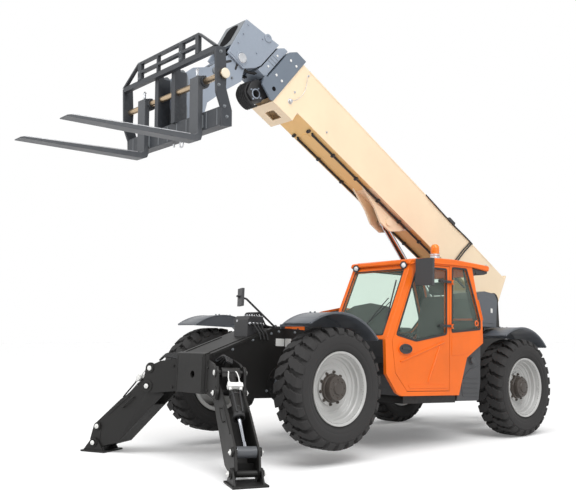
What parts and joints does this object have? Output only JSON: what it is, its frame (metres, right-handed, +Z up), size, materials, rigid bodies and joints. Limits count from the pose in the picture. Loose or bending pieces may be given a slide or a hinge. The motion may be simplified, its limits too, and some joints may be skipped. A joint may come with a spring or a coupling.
{
  "type": "telescopic handler",
  "caption": "Telescopic handler with pallet forks, telescoping boom, side cab and two splayed front outriggers that hold its nose up.",
  "frame": {"origin": "middle of the bounding box's base, on the ground under the rear tyres and the outrigger pads", "axes": "+Y to the machine's rear, -Y the way the forks point, +X the machine's left (cab side), +Z up. The machine stands on its outriggers, nose up 2.47 degrees"},
  "size_m": [3.1556, 7.6732, 4.9344],
  "materials": {
    "chassis_paint": "satin black chassis enamel",
    "dark_grey_paint": "satin dark grey enamel",
    "cab_orange": "gloss orange enamel",
    "boom_cream": "gloss cream enamel",
    "section_grey": "satin blue-grey enamel",
    "carriage_dark": "satin black enamel, edges worn",
    "fork_steel": "dark oiled fork steel with scuffed edges",
    "shaft_steel": "warm brushed shaft steel",
    "rod_chrome": "polished hard chrome",
    "rim_silver": "silver enamel",
    "tyre_rubber": "matt carbon-black tyre rubber",
    "black_plastic": "grained black plastic",
    "tank_plastic": "dark moulded plastic",
    "seat_fabric": "charcoal seat fabric",
    "cab_glass": "light green tinted safety glass",
    "engine_iron": "grey cast engine block",
    "beacon_amber": "amber beacon lens"
  },
  "bodies": {
    "chassis": {"chassis_frame": "chassis_paint", "axles": "dark_grey_paint", "cab_floor": "black_plastic", "cab_front": "cab_orange", "cab_front_panel": "black_plastic", "cab_left_side": "cab_orange", "cab_right_side": "cab_orange", "cab_rear_wall": "cab_orange", "cab_roof": "cab_orange", "cab_glass": "cab_glass", "seat_base": "black_plastic", "seat_cushion": "seat_fabric", "seat_back": "seat_fabric", "dashboard": "black_plastic", "steering_wheel": "black_plastic", "engine_pod": "chassis_paint", "engine_block": "engine_iron", "fuel_tank": "tank_plastic", "hydraulic_tank": "dark_grey_paint", "fenders": "dark_grey_paint", "counterweight": "chassis_paint", "valve_box": "black_plastic", "front_mirror": "black_plastic", "beacon": "beacon_amber"},
    "boom": {"boom_outer": "boom_cream"},
    "second_section": {"boom_second": "section_grey", "hose_carrier": "black_plastic"},
    "third_section": {"boom_third": "section_grey"},
    "fourth_section": {"boom_fourth": "section_grey"},
    "tilt_pin": {"tilt_pin": "section_grey"},
    "carriage": {"coupler": "section_grey", "carriage_frame": "carriage_dark", "fork_shaft": "shaft_steel", "forks": "fork_steel"},
    "lift_barrel": {"lift_barrel": "dark_grey_paint"},
    "lift_rod": {"lift_rod": "rod_chrome"},
    "cab_door": {"cab_door": "cab_orange", "door_glass": "cab_glass", "door_mirror": "black_plastic"},
    "engine_hood": {"engine_hood": "cab_orange"},
    "outrigger_leg_left": {"outrigger_leg_left": "chassis_paint"},
    "outrigger_barrel_left": {"outrigger_barrel_left": "chassis_paint"},
    "outrigger_rod_left": {"outrigger_rod_left": "rod_chrome"},
    "outrigger_pad_left": {"outrigger_pad_left": "chassis_paint"},
    "front_left_knuckle": {"front_left_knuckle": "dark_grey_paint"},
    "front_left_wheel": {"front_left_tyre": "tyre_rubber", "front_left_rim": "rim_silver"},
    "rear_left_knuckle": {"rear_left_knuckle": "dark_grey_paint"},
    "rear_left_wheel": {"rear_left_tyre": "tyre_rubber", "rear_left_rim": "rim_silver"},
    "outrigger_leg_right": {"outrigger_leg_right": "chassis_paint"},
    "outrigger_barrel_right": {"outrigger_barrel_right": "chassis_paint"},
    "outrigger_rod_right": {"outrigger_rod_right": "rod_chrome"},
    "outrigger_pad_right": {"outrigger_pad_right": "chassis_paint"},
    "front_right_knuckle": {"front_right_knuckle": "dark_grey_paint"},
    "front_right_wheel": {"front_right_tyre": "tyre_rubber", "front_right_rim": "rim_silver"},
    "rear_right_knuckle": {"rear_right_knuckle": "dark_grey_paint"},
    "rear_right_wheel": {"rear_right_tyre": "tyre_rubber", "rear_right_rim": "rim_silver"}
  },
  "joints": [
    {"name": "boom_lift", "type": "hinge", "parent": "chassis", "child": "boom", "pos_m": [0, 3.14436, 1.82955], "axis": [-1, 0, 0], "range_deg": [-29.7, 42.3]},
    {"name": "boom_extend", "type": "slide", "parent": "boom", "child": "second_section", "axis": [0, -0.8645, 0.5026], "range_m": [0, 3.45]},
    {"name": "third_extend", "type": "slide", "parent": "second_section", "child": "third_section", "axis": [0, -0.8645, 0.5026], "range_m": [0, 3.45]},
    {"name": "fourth_extend", "type": "slide", "parent": "third_section", "child": "fourth_section", "axis": [0, -0.8645, 0.5026], "range_m": [0, 3.45]},
    {"name": "fork_levelling", "type": "hinge", "parent": "fourth_section", "child": "tilt_pin", "pos_m": [0, -1.53632, 4.45681], "axis": [1, 0, 0], "range_deg": [-29.8, 42.4]},
    {"name": "carriage_tilt", "type": "hinge", "parent": "tilt_pin", "child": "carriage", "pos_m": [0, -1.53632, 4.45681], "axis": [1, 0, 0], "range_deg": [-12, 20]},
    {"name": "lift_barrel_swing", "type": "hinge", "parent": "chassis", "child": "lift_barrel", "pos_m": [0, 2.78243, 0.86426], "axis": [-1, 0, 0], "range_deg": [-23.81, 33.83]},
    {"name": "lift_rod_slide", "type": "slide", "parent": "lift_barrel", "child": "lift_rod", "axis": [0, -0.6656, 0.7463], "range_m": [-0.4877, 0.6933]},
    {"name": "outrigger_left", "type": "hinge", "parent": "chassis", "child": "outrigger_leg_left", "pos_m": [0.70021, -2.04849, 0.75935], "axis": [-0.3859, -0.9217, 0.0398], "range_deg": [0, 95]},
    {"name": "outrigger_barrel_swing_left", "type": "hinge", "parent": "chassis", "child": "outrigger_barrel_left", "pos_m": [0.67807, -2.0307, 0.95677], "axis": [-0.3859, -0.9217, 0.0398], "range_deg": [-0.1, 90.35]},
    {"name": "outrigger_rod_slide_left", "type": "slide", "parent": "outrigger_barrel_left", "child": "outrigger_rod_left", "axis": [-0.6617, 0.3065, 0.6843], "range_m": [-0.001, 0.2845]},
    {"name": "outrigger_pad_left", "type": "hinge", "parent": "outrigger_leg_left", "child": "outrigger_pad_left", "pos_m": [1.35613, -2.35153, 0.1008], "axis": [-0.3859, -0.9217, 0.0398], "range_deg": [-15, 20]},
    {"name": "outrigger_right", "type": "hinge", "parent": "chassis", "child": "outrigger_leg_right", "pos_m": [-0.70021, -2.04849, 0.75935], "axis": [-0.3859, 0.9217, -0.0398], "range_deg": [0, 95]},
    {"name": "outrigger_barrel_swing_right", "type": "hinge", "parent": "chassis", "child": "outrigger_barrel_right", "pos_m": [-0.67807, -2.0307, 0.95677], "axis": [-0.3859, 0.9217, -0.0398], "range_deg": [-0.1, 90.35]},
    {"name": "outrigger_rod_slide_right", "type": "slide", "parent": "outrigger_barrel_right", "child": "outrigger_rod_right", "axis": [0.6617, 0.3065, 0.6843], "range_m": [-0.001, 0.2845]},
    {"name": "outrigger_pad_right", "type": "hinge", "parent": "outrigger_leg_right", "child": "outrigger_pad_right", "pos_m": [-1.35613, -2.35153, 0.1008], "axis": [-0.3859, 0.9217, -0.0398], "range_deg": [-15, 20]},
    {"name": "front_steer_left", "type": "hinge", "parent": "chassis", "child": "front_left_knuckle", "pos_m": [0.78, -1.02469, 0.78125], "axis": [0, 0.0431, 0.9991], "range_deg": [-35, 35]},
    {"name": "front_wheel_left", "type": "hinge", "parent": "front_left_knuckle", "child": "front_left_wheel", "pos_m": [1.0565, -1.02469, 0.78125], "axis": [1, 0, 0], "continuous": true},
    {"name": "front_steer_right", "type": "hinge", "parent": "chassis", "child": "front_right_knuckle", "pos_m": [-0.78, -1.02469, 0.78125], "axis": [0, 0.0431, 0.9991], "range_deg": [-35, 35]},
    {"name": "front_wheel_right", "type": "hinge", "parent": "front_right_knuckle", "child": "front_right_wheel", "pos_m": [-1.0565, -1.02469, 0.78125], "axis": [1, 0, 0], "continuous": true},
    {"name": "rear_steer_left", "type": "hinge", "parent": "chassis", "child": "rear_left_knuckle", "pos_m": [0.78, 2.41212, 0.633], "axis": [0, 0.0431, 0.9991], "range_deg": [-35, 35]},
    {"name": "rear_wheel_left", "type": "hinge", "parent": "rear_left_knuckle", "child": "rear_left_wheel", "pos_m": [1.0565, 2.41212, 0.633], "axis": [1, 0, 0], "continuous": true},
    {"name": "rear_steer_right", "type": "hinge", "parent": "chassis", "child": "rear_right_knuckle", "pos_m": [-0.78, 2.41212, 0.633], "axis": [0, 0.0431, 0.9991], "range_deg": [-35, 35]},
    {"name": "rear_wheel_right", "type": "hinge", "parent": "rear_right_knuckle", "child": "rear_right_wheel", "pos_m": [-1.0565, 2.41212, 0.633], "axis": [1, 0, 0], "continuous": true},
    {"name": "cab_door", "type": "hinge", "parent": "chassis", "child": "cab_door", "pos_m": [1.22, 0.88845, 1.69465], "axis": [0, 0.0431, 0.9991], "range_deg": [0, 85]},
    {"name": "engine_hood", "type": "hinge", "parent": "chassis", "child": "engine_hood", "pos_m": [-0.324, 0.75097, 1.33824], "axis": [0, 0.9991, -0.0431], "range_deg": [0, 35]}
  ],
  "couplings": [
    {"joint": "third_extend", "follows": "boom_extend", "ratio": 1},
    {"joint": "fourth_extend", "follows": "boom_extend", "ratio": 1},
    {"joint": "fork_levelling", "follows": "boom_lift", "ratio": 1},
    {"joint": "lift_barrel_swing", "follows": "boom_lift", "ratio": 0.795},
    {"joint": "lift_rod_slide", "follows": "boom_lift", "m_per_rad": 0.935},
    {"joint": "outrigger_barrel_swing_left", "follows": "outrigger_left", "ratio": 0.95},
    {"joint": "outrigger_rod_slide_left", "follows": "outrigger_left", "m_per_rad": 0.171},
    {"joint": "outrigger_barrel_swing_right", "follows": "outrigger_right", "ratio": 0.95},
    {"joint": "outrigger_rod_slide_right", "follows": "outrigger_right", "m_per_rad": 0.171},
    {"joint": "front_steer_right", "follows": "front_steer_left", "ratio": 1},
    {"joint": "rear_steer_right", "follows": "rear_steer_left", "ratio": 1}
  ]
}
